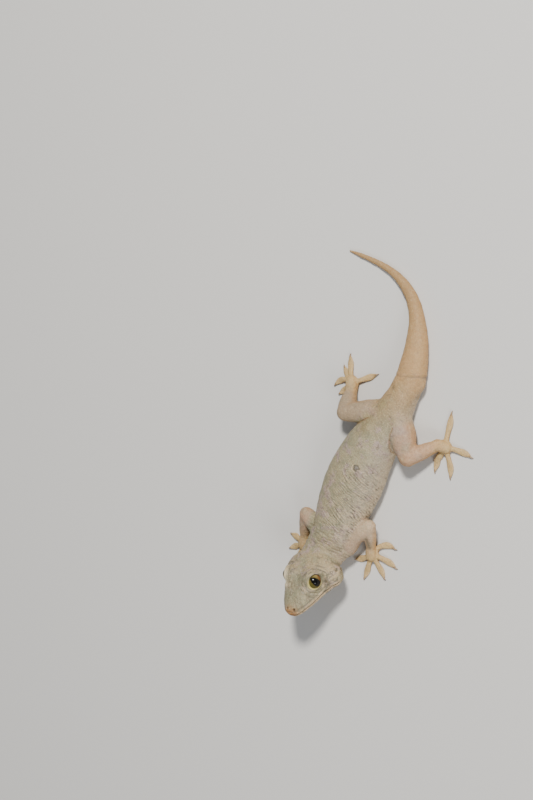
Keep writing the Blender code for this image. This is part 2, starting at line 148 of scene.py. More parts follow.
# %% Sizes of the limbs and toes
# Root: distance along the body, share of its half width, height. Then the bend, the wrist or ankle and the
# palm (x, y, z), and the radii of the upper and of the lower length.
LIMBS = {
    "arm_left": dict(
        root=(6.2, 0.44, 5.6), middle=(11.5, -8.6, 6.4), end=(14.1, -15.7, 2.4), palm=(14.8, -17.4, 1.2),
        radii=(4.2, 2.9, 2.2), lower_radii=(2.1, 2, 1.4),
    ),
    "arm_right": dict(
        root=(7, -0.3, 6), middle=(-9.3, -19, 5.5), end=(-7.6, -27, 2.3), palm=(-6.9, -29.3, 1.2),
        radii=(3.4, 3, 2.3), lower_radii=(2.1, 2, 1.4),
    ),
    "leg_left": dict(
        root=(52.4, 0.34, 5.6), middle=(11.5, 16.8, 6.6), end=(16.3, 24.6, 2.6), palm=(17.8, 24.8, 1.3),
        radii=(4.2, 4.3, 2.7), lower_radii=(2.6, 2.4, 1.6),
    ),
    "leg_right": dict(
        root=(52, -0.3, 5.4), middle=(-13.4, 16.6, 7.6), end=(-17.6, 21.7, 2.6), palm=(-19.2, 23.4, 1.3),
        radii=(3.6, 3.7, 2.7), lower_radii=(2.7, 2.7, 1.7),
    ),
}
# The tip (x, y) of each toe, from the innermost to the outermost, and how far it bows to its left.
TOE_TIPS = {
    "arm_left": (
        (10.2, -23, 0.5), (16.5, -26.5, 0), (22.7, -21.8, 0), (24.3, -16.4, 0.4), (21, -11.5, 2),
    ),
    "arm_right": (
        (-2.6, -32.6, 0), (-6.6, -36.4, 0), (-11.2, -34.6, 0), (-13.4, -30, 0), (-11.9, -24.6, 0.4),
    ),
    "leg_left": (
        (16.6, 18.9, 0.6), (19.1, 15.8, -0.8), (24.4, 17.1, 0.6), (27.1, 27, 0.4), (13.8, 35.1, 0),
    ),
    "leg_right": (
        (-21.9, 17.3, 0), (-24.6, 18.6, -1.6), (-25.1, 26.3, 0.5), (-25, 30.6, 0.4), (-13.2, 30.6, 0),
    ),
}
# Share of a toe's length, half width, half height, height of its middle: stem, wide pad, slim last joint.
TOE_SECTIONS = (
    (0, 1, 0.85, 1.05), (0.25, 0.78, 0.66, 1), (0.45, 0.88, 0.54, 0.75), (0.6, 1.08, 0.47, 0.44),
    (0.7, 1.04, 0.4, 0.37), (0.78, 0.82, 0.36, 0.4), (0.84, 0.58, 0.36, 0.5), (0.9, 0.4, 0.35, 0.62),
)
CLAW_START = 0.87
PALM_RADIUS, PALM_HEIGHT = 2.3, 1.2

# %% [markdown]
# ## Curves through tables, and rings round an axis
#
# One reader turns any table into a smooth function, and one maker turns a stack of rings into a closed
# mesh. Every soft form of the animal comes from these two.


# %% Read a table as a smooth curve
def curve_through(rows, knots, start_slope=None):
    rows, knots = np.array(rows, float), np.array(knots, float)
    slopes = np.gradient(rows, knots, axis=0)
    if start_slope is not None:
        slopes[0, :3] = start_slope

    def at(places):
        places = np.atleast_1d(places)
        index = np.clip(np.searchsorted(knots, places) - 1, 0, len(knots) - 2)
        span = (knots[index + 1] - knots[index])[:, None]
        u = (places[:, None] - knots[index][:, None]) / span
        start, end = rows[index], rows[index + 1]
        bend = u * (1 - u) * span * ((1 - u) * slopes[index] - u * slopes[index + 1])
        return start + (3 * u * u - 2 * u**3) * (end - start) + bend

    return at


def smooth(low, high, values):
    """0 below low, 1 above high, and a soft slope between them."""
    share = np.clip((np.asarray(values, float) - low) / (high - low), 0, 1)
    return share * share * (3 - 2 * share)


def bell(values, width):
    """1 where values are 0, sinking to both sides over about width."""
    return np.exp(-((values / width) ** 2))


def around(positions, centre, reach):
    """1 at a centre, sinking on all sides over about reach."""
    return np.exp(-((positions - centre) ** 2).sum(-1) / reach**2)


def lengths(vectors):
    return np.linalg.norm(vectors, axis=-1)


def unit(vectors):
    return vectors / lengths(vectors)[..., None]


# %% Stack rings into a closed mesh
def section(width, rise, drop, count):
    turn = np.arange(count) * 2 * np.pi / count
    across, up = (np.sign(wave) * np.abs(wave) ** ROUNDNESS for wave in (np.cos(turn), np.sin(turn)))
    width, rise, drop = (np.atleast_1d(size)[:, None] for size in (width, rise, drop))
    return across * width, np.where(up > 0, rise, drop) * up


def sides_along(directions):
    """The side and up directions of rings that face along some directions."""
    forward = unit(np.asarray(directions, float))
    side = unit(np.cross(forward, (0, 0, 1)))
    return side, np.cross(side, forward)


def rings_round(centres, directions, width, rise, drop, count):
    side, up = sides_along(directions)
    across, height = section(width, rise, drop, count)
    return centres[:, None] + side[:, None] * across[..., None] + up[:, None] * height[..., None]


def closed_mesh(name, rings):
    """A mesh in metres from an array of rings in millimetres, closed at both ends."""
    length, count = rings.shape[:2]
    place = np.arange(length * count).reshape(length, count)
    near, far = place[:-1], place[1:]
    quads = np.stack([near, np.roll(near, -1, 1), np.roll(far, -1, 1), far], axis=-1)
    faces = quads.reshape(-1, 4).tolist() + [place[0].tolist(), place[-1].tolist()]
    mesh = bpy.data.meshes.new(name)
    mesh.from_pydata((rings.reshape(-1, 3) * MM).tolist(), [], faces)
    piece = bpy.data.objects.new(name, mesh)
    bpy.context.scene.collection.objects.link(piece)
    return piece


# %% [markdown]
# ## The head
#
# The head is built in its own coordinates: side, back from the snout tip, and up from the mouth line. A
# matrix turns, lifts and tilts it onto the neck. Brows, hollows and jaw muscles are soft swellings, pushed
# out round named points as a sculptor would add clay.

# %% Head coordinates
head_frame = (
    Matrix.Translation(SNOUT_TIP)
    @ Matrix.Rotation(radians(HEAD_TURN), 4, "Z")
    @ Matrix.Rotation(radians(-HEAD_LIFT), 4, "X")
    @ Matrix.Rotation(radians(HEAD_ROLL), 4, "Y")
)
HEAD_TO_PART = np.array(head_frame)
PART_TO_HEAD = np.linalg.inv(HEAD_TO_PART)
HEAD_BACK = HEAD_TO_PART[:3, 1]


def moved(matrix, points):
    return points @ matrix[:3, :3].T + matrix[:3, 3]


# %% Loft the head
HEAD_RINGS, HEAD_ROUND = 110, 128
SNOUT_CROWDING = 1.3  # above 1 crowds the rings at the snout
head_rows = np.array(HEAD_SECTIONS)
head_at = curve_through(head_rows[:, 1:], head_rows[:, 0])
back = np.linspace(0, 1, HEAD_RINGS) ** SNOUT_CROWDING * HEAD_LENGTH
across, up = section(*head_at(back).T, HEAD_ROUND)
rings = np.stack([across, np.broadcast_to(back[:, None], across.shape), up], axis=-1)
folded = np.abs(rings * (1, 0, 0)) + rings * (0, 1, 1)
swelling = sum(height * around(folded, centre, reach) for centre, reach, height in HEAD_SWELLS)
rings[..., [0, 2]] *= (1 + swelling / np.hypot(across, up))[..., None]
head_form = closed_mesh("head form", moved(HEAD_TO_PART, rings))

# %% [markdown]
# ## The body and the tail
#
# Neck, trunk and tail are one tube round a bent axis. Over the neck its rings turn evenly out of the way
# the head runs, so that they never cross. The tube starts inside the head and rests flat on the floor.

# %% Axis of the body
nape = moved(HEAD_TO_PART, np.array([0, HEAD_LENGTH, 0]))
body_rows = np.array([(*nape, *head_at(HEAD_LENGTH)[0])] + list(BODY_SECTIONS))
body_knots = np.concatenate([[0], np.cumsum(lengths(np.diff(body_rows[:, :3], axis=0)))])
body_at = curve_through(body_rows, body_knots, HEAD_BACK)
BODY_END = body_knots[-1]


def body_heading(places):
    """Which way the body runs at some distances from the back of the head."""
    places = np.atleast_1d(places)
    inside = np.clip(places, NECK_BEND, BODY_END - 0.02)
    heading = unit(body_at(inside + 0.01)[:, :3] - body_at(inside)[:, :3])
    share = np.clip(places / NECK_BEND, 0, 1)[:, None]
    return unit(HEAD_BACK * (1 - share) + heading * share)


print("the body's axis is", round(BODY_END, 1), "mm long behind the head")

# %% Loft the body
BODY_RINGS, BODY_ROUND = 300, 96
TUCK_SIZE, TUCK_DEPTH = 0.8, 1.5  # the first ring, drawn smaller into the head
places = np.linspace(0, BODY_END, BODY_RINGS)
rows = body_at(places)
rings = rings_round(rows[:, :3], body_heading(places), *rows[:, 3:].T, BODY_ROUND)
middle = rings[:1].mean(axis=1, keepdims=True)
inner = middle + (rings[:1] - middle) * TUCK_SIZE - HEAD_BACK * TUCK_DEPTH
rings = np.concatenate([inner, rings])
rings[..., 2] = np.maximum(rings[..., 2], 0)
body_form = closed_mesh("body form", rings)

# %% [markdown]
# ## Limbs, hands and feet
#
# Each limb is two round tapering lengths with domed ends, as thick as the muscle over the bone, then a
# flat palm with five toes. A gecko's toe has a slim stem, a broad sticky pad that lies on the ground, and
# a slim last joint that lifts the claw clear of the pad.

# %% Rounded lengths of limb
DOME_STEPS = np.radians(np.linspace(0, 80, 9))
BELLY_SHARE = 0.45  # where along a length its middle radius is


def limb_length(name, start, end, radii, rings=40, count=48):
    start, end = np.array(start, float), np.array(end, float)
    along = end - start
    length = lengths(along)
    shares = np.linspace(0, 1, rings)
    sizes = np.interp(shares, (0, BELLY_SHARE, 1), radii)
    first, last = sizes[0], sizes[-1]
    falling, rising = DOME_STEPS[:0:-1], DOME_STEPS[1:]
    places = np.concatenate([-first * np.sin(falling), shares * length, length + last * np.sin(rising)])
    sizes = np.concatenate([first * np.cos(falling), sizes, last * np.cos(rising)])
    centres = start + unit(along) * places[:, None]
    directions = np.broadcast_to(along, centres.shape)
    return closed_mesh(name, rings_round(centres, directions, sizes, sizes, sizes, count))


# %% Toes
TOE_RINGS, TOE_ROUND = 60, 32
toe_rows = np.array(TOE_SECTIONS)
toe_at = curve_through(toe_rows[:, 1:], toe_rows[:, 0])


def toe_line(palm, tip, shares):
    """Points along the middle of a toe on the floor, and the way it runs there."""
    start, end = (np.array([*place[:2], 0]) for place in (palm, tip))
    along = end - start
    aside = unit(np.array([-along[1], along[0], 0]))
    bow = tip[2] * 4 * shares * (1 - shares)
    heading = along + aside * (tip[2] * 4 * (1 - 2 * shares))[:, None]
    return start + along * shares[:, None] + aside * bow[:, None], heading


def make_toe(palm, tip):
    shares = np.linspace(0, toe_rows[-1, 0], TOE_RINGS)
    width, height, middle = toe_at(shares).T
    centres, heading = toe_line(palm, tip, shares)
    centres[:, 2] = middle
    return closed_mesh("toe form", rings_round(centres, heading, width, height, height, TOE_ROUND))


# %% Put the limbs together
PALM_RINGS, PALM_ROUND = 24, 40
WRIST_LAP, PALM_LAP = 0.5, 0.6  # how far a hand reaches past the wrist and past the palm's middle
HAND_SPREAD, HAND_END = 0.3, 1.84  # how much a hand widens, and its last radius


def make_palm(centre):
    turn = np.radians(np.linspace(-88, 88, PALM_RINGS))
    radius = PALM_RADIUS * np.cos(turn)
    circle = np.arange(PALM_ROUND) * 2 * np.pi / PALM_ROUND
    x = centre[0] + radius[:, None] * np.cos(circle)
    y = centre[1] + radius[:, None] * np.sin(circle)
    z = np.broadcast_to((centre[2] + PALM_HEIGHT * np.sin(turn))[:, None], x.shape)
    return closed_mesh("palm form", np.stack([x, y, z], axis=-1))


def limb_root(sizes):
    place, share, height = sizes["root"]
    row = body_at(place)[0]
    return np.array([row[0] + row[3] * share, row[1], height])


def make_limb(limb):
    sizes = LIMBS[limb]
    middle, wrist, palm = (np.array(sizes[key]) for key in ("middle", "end", "palm"))
    flat = unit((palm - wrist) * (1, 1, 0))
    back = wrist + unit(wrist - palm) * WRIST_LAP
    radius = sizes["lower_radii"][-1]
    hand_radii = (radius, radius + HAND_SPREAD, HAND_END)
    forms = [
        limb_length(limb + " upper form", limb_root(sizes), middle, sizes["radii"]),
        limb_length(limb + " lower form", middle, wrist, sizes["lower_radii"]),
        limb_length(limb + " hand form", back, palm + flat * PALM_LAP, hand_radii),
        make_palm(palm),
    ]
    return forms + [make_toe(palm, tip) for tip in TOE_TIPS[limb]]


forms = [head_form, body_form] + [form for limb in LIMBS for form in make_limb(limb)]
print(len(forms), "forms to melt into one skin")

# %% [markdown]
# ## One skin over all forms
#
# A voxel remesh makes overlapping meshes one: it fills space with tiny cells and draws a new even mesh
# round all that is inside. It leaves hard creases where a limb leaves the trunk, so the points are then
# relaxed: each moves a little towards the mean of its neighbours, most where flesh should flow and hardly
# at all on the toes, which would melt away. A Boolean union would keep every edge sharp.

# %% Melt the forms together
FINE_VOXEL, COARSE_VOXEL = 0.17, 0.3
VOXEL = FINE_VOXEL

bpy.ops.object.select_all(action="DESELECT")
for form in forms:
    form.select_set(True)
bpy.context.view_layer.objects.active = skin = head_form
bpy.ops.object.join()
remesh = skin.modifiers.new("melt", "REMESH")
remesh.mode = "VOXEL"
remesh.voxel_size = VOXEL * MM
mesh = bpy.data.meshes.new_from_object(skin.evaluated_get(bpy.context.evaluated_depsgraph_get()))
skin.modifiers.clear()
skin.data = mesh
skin.name = mesh.name = "skin"
print("skin:", len(skin.data.vertices), "points")

# %% The skin's points and their neighbours
def read(items, key, width, kind=float):
    values = np.empty(len(items) * width, kind)
    items.foreach_get(key, values)
    return values.reshape(-1, width)


count = len(skin.data.vertices)
points = read(skin.data.vertices, "co", 3) / MM
edges = read(skin.data.edges, "vertices", 2, int)
near, other = edges.T.ravel(), edges[:, ::-1].T.ravel()
neighbours = np.maximum(np.bincount(near, minlength=count), 1)
corners = read(skin.data.loops, "vertex_index", 1, int).ravel()
quads = corners.reshape(-1, 4)


def relaxed(values, weight, rounds):
    """Values moved towards the mean of their neighbours, some rounds over."""
    values = values.copy()
    for _ in range(rounds):
        for axis in range(3):
            mean = np.bincount(near, values[other, axis], count) / neighbours
            values[:, axis] += weight * (mean - values[:, axis])
    return values


def normals_of(positions):
    a, b, c, d = (positions[quads[:, k]] for k in range(4))
    face = np.repeat(np.cross(c - a, d - b), 4, axis=0)
    total = np.stack([np.bincount(corners, face[:, k], count) for k in range(3)], axis=1)
    return total / np.maximum(lengths(total), 1e-12)[:, None]


# %% Distances from lines
def distance_to_line(positions, start, end):
    start, end = np.array(start, float), np.array(end, float)
    along = end - start
    share = np.clip((positions - start) @ along / (along @ along), 0, 1)
    return lengths(positions - start - share[:, None] * along)


def distance_from_above(positions, start, end):
    """How far points are from a line when all heights are left out."""
    return distance_to_line(positions * (1, 1, 0), (*start[:2], 0), (*end[:2], 0))


# %% Which points are on hands and feet
FOOT_TOP, FOOT_REACH, PALM_MIDDLE = (2.6, 3.6), (10.5, 11.5), (0.6, 2.2)
TRUNK_MIDDLE, TRUNK_HALF, TRUNK_FRONT = -0.8, 8.5, -18
feet = np.zeros(count)
low = 1 - smooth(*FOOT_TOP, points[:, 2])
for sizes in LIMBS.values():
    away = lengths((points - sizes["palm"])[:, :2])
    feet = np.maximum(feet, (1 - smooth(*FOOT_REACH, away)) * low * smooth(*PALM_MIDDLE, away))
feet[(np.abs(points[:, 0] - TRUNK_MIDDLE) < TRUNK_HALF) & (points[:, 1] > TRUNK_FRONT)] = 0

# %% Relax the creases
# How strongly and how far the flesh flows round each joint, and the rounds of relaxing on a fine skin.
JOINT_FLOWS = {"root": (0.8, 5), "middle": (0.7, 3), "end": (0.5, 2.2)}
NAPE_FLOW = (0.8, 8)
JOINT_ROUNDS, SKIN_ROUNDS = 90, 14
fineness = FINE_VOXEL / VOXEL
joints = NAPE_FLOW[0] * around(points, nape, NAPE_FLOW[1])
for sizes in LIMBS.values():
    for joint, (strength, size) in JOINT_FLOWS.items():
        place = limb_root(sizes) if joint == "root" else sizes[joint]
        joints = np.maximum(joints, strength * around(points, place, size))
points = relaxed(points, 0.6 * joints * (1 - feet), int(JOINT_ROUNDS * fineness**2))
points = relaxed(points, 0.5 * (1 - 0.8 * feet), int(SKIN_ROUNDS * fineness**2) + 1)
points[:, 2] = np.maximum(points[:, 2], 0)
print("relaxed", count, "points")

# %% [markdown]
# ## Folds and hollows in the skin
#
# Loose skin gathers in fine folds: slanting ones on the flanks, rings round the neck, creases at elbow and
# knee, faint rings on the tail. They are real dents in the mesh, made by moving points along their
# normals, because in a grazing light a bump in the material alone would leave the outline too smooth.

# %% A soft wander, the same each time
WAVES = 7


def wander(positions, size, seed):
    """A smooth pattern between about -1 and 1 whose blobs are about size millimetres."""
    dice = np.random.default_rng(seed)
    total = np.zeros(len(positions))
    for _ in range(WAVES):
        way = dice.normal(size=3)
        way *= 2 * np.pi / (size * (0.7 + 0.8 * dice.random())) / lengths(way)
        total += np.sin(positions @ way + dice.random() * 2 * np.pi)
    return total / 3


# %% Body coordinates of each point
SAMPLES, BLOCK = 420, 20000
samples = np.linspace(0, BODY_END, SAMPLES)
sample_rows = body_at(samples)
sample_heading = body_heading(samples)
nearest = np.empty(count, int)
for start in range(0, count, BLOCK):
    part = slice(start, start + BLOCK)
    away = ((points[part, None] - sample_rows[None, :, :3]) ** 2).sum(-1)
    nearest[part] = away.argmin(1)
row, heading = sample_rows[nearest], sample_heading[nearest]
side, up = sides_along(heading)
out = points - row[:, :3]
across, height = (out * side).sum(1), (out * up).sum(1)
radius = np.hypot(across, height)
along = samples[nearest] + (out * heading).sum(1)
spine_arc = radius * np.arctan2(across, height)  # the way round the body from the spine to the left
up_share = height / radius
reach = np.hypot(across / row[:, 3], height / np.where(height > 0, row[:, 4], row[:, 5]))

# %% Parts of the skin
HEAD_HALF, HEAD_BOTTOM = 11, -7
LIMB_START = (1.12, 1.45)  # where limbs begin, in times the body's own section
UPPER_ARM_FADE = (1.4, 3.2)
head_points = moved(PART_TO_HEAD, points)
on_head = 1 - smooth(HEAD_LENGTH - 1, HEAD_LENGTH + 1.5, head_points[:, 1])
on_head *= (np.abs(head_points[:, 0]) < HEAD_HALF) & (head_points[:, 2] > HEAD_BOTTOM)
on_limb = np.maximum(smooth(*LIMB_START, reach) * (1 - on_head), feet)
away = distance_from_above(points, SHOULDER, LIMBS["arm_left"]["middle"])
upper_arm = (1 - smooth(*UPPER_ARM_FADE, away)) * smooth(-0.6, 0.2, up_share) * (1 - on_head)
on_limb = np.maximum(on_limb, 0.85 * upper_arm)
boundary = along - TAIL_START - TAIL_SLANT * across - 0.2 * wander(points, size=4, seed=2)
on_tail = smooth(-0.35, 0.35, boundary) * (1 - on_limb)
near_tail = (1 - on_limb) * (1 - on_head)
on_trunk = (1 - on_limb) * (1 - on_tail) * (1 - on_head)
print("limbs", int(on_limb.sum()), "tail", int(on_tail.sum()), "head", int(on_head.sum()), "points")

# %% Wrinkles of the trunk and neck
# Depths in millimetres of the trunk's wrinkles, the neck's folds and the soft unevenness between them.
WRINKLE_DEPTH, NECK_FOLD_DEPTH, UNEVEN_DEPTH = 0.1, 0.07, 0.07
# Where the wrinkles begin and end along the body, and where the neck's folds do.
WRINKLE_START, WRINKLE_END = (4, 14), (25, 41)
NECK_START, NECK_END = (-2, 2), (8, 16)


def stretched(first, second):
    """Points on a flat sheet, for wander patterns that run along the skin."""
    return np.stack([first, second, np.zeros(count)], axis=1)


slant = along + WRINKLE_SLANT * spine_arc + 0.45 * wander(points, size=11, seed=3)
gates = smooth(-0.25, 0.45, wander(stretched(slant * 0.8, spine_arc * 0.16), size=1.7, seed=23))
wrinkle_run = slant + 0.12 * wander(points, size=3, seed=9)
wrinkles = np.sin(wrinkle_run * 2 * np.pi / WRINKLE_GAP) * gates
to_left = smooth(-8, 6, spine_arc)
middle_share = smooth(*WRINKLE_START, along) * (1 - smooth(*WRINKLE_END, along))
wrinkled = on_trunk * (0.15 + 0.85 * to_left * middle_share) * smooth(-0.45, 0.1, up_share)
wrinkled *= 1 - 0.8 * upper_arm
wrinkled *= 0.55 + 0.45 * smooth(-0.6, 0.5, wander(points, size=7, seed=21))
neck_folds = wander(stretched(along * 1, spine_arc * 0.25), size=1.1, seed=5)
on_neck = on_trunk * smooth(*NECK_START, along) * (1 - smooth(*NECK_END, along))
dent = WRINKLE_DEPTH * wrinkles * wrinkled
dent += NECK_FOLD_DEPTH * neck_folds * on_neck
dent += UNEVEN_DEPTH * wander(points, size=3.2, seed=11) * on_trunk
# Painted shade: dark lines along the troughs of the wrinkles and of the neck's folds.
fold_line_shade = 0.8 * smooth(0.45, 0.95, -wrinkles) * np.minimum(1.5 * wrinkled, 1)
fold_line_shade += 0.6 * smooth(0.3, 1, -neck_folds) * on_neck

# %% The joint of the regrown tail, and the single lumps
TAIL_GROOVE, TAIL_RIDGE, TAIL_RING_GAP = 0.15, 0.07, 2.3
FAINT_DEPTH = 0.035
dent -= TAIL_GROOVE * bell(boundary, 0.38) * near_tail
dent += TAIL_RIDGE * bell(boundary - 0.9, 0.6) * near_tail
for centre, size, height in LUMPS:
    dent += height * around(points, centre, size)
tail_ring = np.abs(np.sin(along * np.pi / TAIL_RING_GAP))
dent -= FAINT_DEPTH * (1 - tail_ring) ** 3 * smooth(66, 70, along) * on_tail
dent += FAINT_DEPTH * wander(points, size=2.2, seed=17) * np.maximum(on_limb * (1 - feet), on_tail)

# %% Creases where limbs bend and where they meet the trunk
CREASE_GAPS = {"middle": 1.15, "end": 0.8}
CREASE_REACH, CREASE_DEPTH = 2.6, 0.08
HIP_LINE_HALF, HIP_LINE_DEPTH = 0.22, 0.25
creases = np.zeros(count)
hip_lines = np.zeros(count)
for sizes in LIMBS.values():
    run = lengths(points - limb_root(sizes))
    for joint, gap in CREASE_GAPS.items():
        close = around(points, sizes[joint], CREASE_REACH)
        creases += close * (0.5 + 0.5 * np.cos(run * 2 * np.pi / gap)) ** 2
for line in HIP_CREASES:
    for start, end in zip(line, line[1:]):
        away = distance_from_above(points, start, end)
        hip_lines = np.maximum(hip_lines, bell(away, HIP_LINE_HALF) * smooth(4.5, 6.5, points[:, 2]))
dent -= CREASE_DEPTH * creases * (1 - 0.6 * feet)
dent -= HIP_LINE_DEPTH * hip_lines
points += normals_of(points) * dent[:, None]
print("folds reach", round(float(np.abs(dent).max()), 2), "mm")

# %% [markdown]
# ## Mouth, lips, nostrils and ears
#
# The mouth line runs round the snout in one unbroken groove, with a row of lip scales above and below it.
# The nostrils are small pits with a raised edge, and the ear is an upright oval opening behind the corner
# of the mouth. All of them are pressed into the same skin in head coordinates.

# %% Press in the mouth line
JAW_DIP, JAW_DIP_SPAN = 0.9, (11.5, 15.5)  # the mouth line sinks towards its corner
LIP_SCALE = 0.95
head_points = moved(PART_TO_HEAD, points)
side, back, up = head_points.T
line_height = up + JAW_DIP * smooth(*JAW_DIP_SPAN, back)
on_mouth = (1 - smooth(MOUTH_LENGTH - 1.2, MOUTH_LENGTH + 0.3, back)) * on_head
mouth = bell(line_height, 0.17) * on_mouth
lip_band = bell(np.abs(line_height) - 0.55, 0.38) * on_mouth
lip_scales = np.abs(np.sin(np.hypot(side, back * 0.95) * np.pi / LIP_SCALE))
lip_gaps = (1 - lip_scales) ** 4 * bell(np.abs(line_height) - 0.6, 0.42) * on_mouth
lip_edge = bell(line_height - 1.25, 0.16) * on_mouth
outward = unit(stretched(side, np.minimum(back - 4, 0) * 1.4) + 1e-9)
push = 0.1 * lip_band - 0.34 * mouth - 0.07 * lip_gaps - 0.07 * lip_edge
head_points += outward * push[:, None]

# %% Nostrils and ear openings
NOSTRIL_RADII, NOSTRIL_DEPTH = (0.38, 0.4, 0.8), 0.6
RIGHT_NOSTRIL_INWARD = 0.7
EAR_RADII, EAR_DEPTH = (2.2, 0.45, 0.85), 0.7
PIT_EDGE = 0.1


def pit(centre, radii, depth, inward=0):
    """How far points sink in a pit, with a raised edge round it, on both sides of the head."""
    mirrored = head_points.copy()
    mirrored[:, 0] = np.abs(mirrored[:, 0]) + inward * (mirrored[:, 0] < 0)
    away = np.sqrt((((mirrored - centre) / radii) ** 2).sum(1))
    hollow = np.exp(-(away**4) * 1.2)
    return (PIT_EDGE * bell(away - 1.45, 0.38) - depth * hollow) * on_head, hollow * on_head


nostril_push, nostril_hollow = pit(NOSTRIL_CENTRE, NOSTRIL_RADII, NOSTRIL_DEPTH, RIGHT_NOSTRIL_INWARD)
ear_push, ear_hollow = pit(EAR_CENTRE, EAR_RADII, EAR_DEPTH)

# %% Fine folds of the head
# The cheek's folds, the skin fold behind the jaw, and depths of folds in millimetres.
CHEEK_CENTRE, CHEEK_REACH = (8.2, 15, 0.5), 4
JAW_FOLD_BACK, JAW_FOLD_HALF = 20.1, 0.5
RIPPLE_DEPTH, CHEEK_DEPTH, HEAD_UNEVEN, JAW_FOLD_DEPTH = 0.085, 0.1, 0.05, 0.28
folded = head_points * np.where(head_points[:, :1] < 0, (-1, 1, 1), (1, 1, 1))
from_eye = lengths(folded - EYE_CENTRE - EYE_RADIUS * 0.5 * unit(EYE_LOOK))
beside_eye = (folded[:, 0] > 2) * on_head


def round_the_eyes():
    """The run of the fine folds round the eyes, at the points as they stand."""
    return from_eye + 0.2 * wander(points, size=3, seed=31), 0.15 * back, 0.15 * up


ripples = wander(np.stack(round_the_eyes(), axis=1), size=0.75, seed=14) * bell(from_eye - 4, 1.5)
ripples *= beside_eye
cheek = around(folded, CHEEK_CENTRE, CHEEK_REACH) * on_head
cheek_sheet = stretched(back * 0.35 - up * 0.3, up * 0.9 + back * 0.35)
cheek_folds = wander(cheek_sheet, size=0.9, seed=41) * cheek
jaw_fold = bell(back - JAW_FOLD_BACK + 0.25 * up, JAW_FOLD_HALF) * smooth(4, 6.5, np.abs(side)) * (up < 3)
head_dent = RIPPLE_DEPTH * ripples + CHEEK_DEPTH * cheek_folds - JAW_FOLD_DEPTH * jaw_fold
head_dent += HEAD_UNEVEN * wander(points, size=1.6, seed=51) * on_head
head_normals = normals_of(points) @ PART_TO_HEAD[:3, :3].T
head_points += head_normals * (nostril_push + ear_push + head_dent)[:, None]
# Painted shade along the troughs of the fine folds round the eyes and on the cheeks.
head_line_shade = smooth(0.25, 0.8, -ripples) + smooth(0.25, 0.8, -cheek_folds)

# %% [markdown]
# ## The rim of skin round each eye
#
# A gecko has no moving lids: a clear scale covers the eye, and the skin ends round it in a low rim. The
# skin near the eye is drawn to a plane across the eyeball, then swells into the rim, so that it touches
# the ball all the way round and no gap shows.

# %% Draw the skin to the eyes
EYE_OPENING = 0.9  # from the eyeball's middle to the plane of its opening
RIM_RING, RIM_HEIGHT, BROW_RAISE = 2.48, 0.36, 1.6


def eye_place(side_sign):
    """Middle of an eyeball and the way it looks."""
    return EYE_CENTRE * (side_sign, 1, 1), unit(EYE_LOOK * (side_sign, 1, 1))


def shape_round_eye(head_points, side_sign):
    centre, look = eye_place(side_sign)
    out = head_points - centre
    depth = out @ look
    across = out - depth[:, None] * look
    ring = lengths(across)
    on_side = (depth > -1.2) & (head_points[:, 0] * side_sign > 0)
    ball = np.sqrt(np.maximum(EYE_RADIUS**2 - ring**2, 0))
    upward = smooth(-0.5, 2.2, across @ unit(np.array([0, 0.25, 1])))
    rim = RIM_HEIGHT * (1 + BROW_RAISE * upward) * bell(ring - RIM_RING, 0.24 + 0.3 * upward)
    target = np.where(ring < 2.25, np.minimum(EYE_OPENING, ball - 0.15), EYE_OPENING + rim)
    weight = (1 - smooth(2.65, 3.9, ring)) * on_side
    fold = -0.1 * bell(ring - 3.2, 0.2) * on_side
    shift = (target - depth) * weight + fold
    head_points += shift[:, None] * look
    lower = smooth(-1, 0.8, across @ unit(np.array([0, -1, -0.45])))
    near_ball = on_side * (1 - smooth(2.5, 2.75, ring)) * (depth > -1)
    return near_ball * lower, near_ball * (1 - lower)


left_low, left_brow_shade = shape_round_eye(head_points, 1)
right_low, right_high = shape_round_eye(head_points, -1)
points = np.where(on_head[:, None] > 0, moved(HEAD_TO_PART, head_points), points)
points = relaxed(points, 0.35 * on_head * (1 - 0.75 * mouth) * (1 - 0.8 * nostril_hollow), 2)
points[:, 2] = np.maximum(points[:, 2], 0)
skin.data.vertices.foreach_set("co", (points * MM).ravel())
skin.data.update()
print("the skin reaches up to", round(float(points[:, 2].max()), 2), "mm")

# %% [markdown]
# ## Colour masks on the skin
#
# A gecko's colours change by region: greenish grey on the back, pinker limbs, a tan regrown tail, an orange
# snout, pale lips and pads. Each region is a number from 0 to 1 kept on the points, and the material mixes
# its colours by them. Painted textures could do the same, but numbers made from the sizes always fit them.

# %% Measures that the regions are made from
# The spot's pale crescent is a painted highlight, shifted off the spot's middle to one side.
SPOT_NOISE, HIGHLIGHT_SHIFT = 0.22, (-0.4, -0.4, 0)
RING_REACH = 4
arm, leg = LIMBS["arm_left"], LIMBS["leg_left"]
height = points[:, 2]
snout_away = ((head_points - (0, 0.3, 0.8)) / (3.2, 2.5, 2.2)) ** 2
edge_on = smooth(0.72, 0.05, normals_of(points)[:, 2])
warm = np.maximum(on_limb, 0.6 * on_tail) * edge_on + 0.4 * creases + hip_lines
warm += 0.45 * around(points, TAIL_BULGE, 3)
rear = smooth(43, 61, along - 0.4 * spine_arc) * on_trunk + 0.5 * around(points, limb_root(arm), 5)
from_spot = points - SPOT_CENTRE
spot_ring = lengths(from_spot / SPOT_RADII) + SPOT_NOISE * wander(points, size=0.9, seed=71)
# painted highlight on one side of the spot
highlight_ring = lengths((from_spot - HIGHLIGHT_SHIFT) / SPOT_RADII)
from_shin = distance_to_line(points, leg["middle"], leg["end"])
# Painted shade in folds and creases: wrinkles, the head's folds, the groove above the lips, the jaw fold,
# under the left brow, the hip creases, the elbow's crook, and the tail's pit and notch.
crease_shade = np.maximum(fold_line_shade, head_line_shade) + 0.8 * lip_edge + 0.5 * jaw_fold * on_head + 0.7 * left_brow_shade
crease_shade += 0.6 * hip_lines + bell(distance_to_line(points, *ELBOW_SHADOW_LINE), 0.6)
crease_shade += 0.9 * around(points, TAIL_PIT, 0.6) + 0.6 * around(points, TAIL_NOTCH, 0.9)

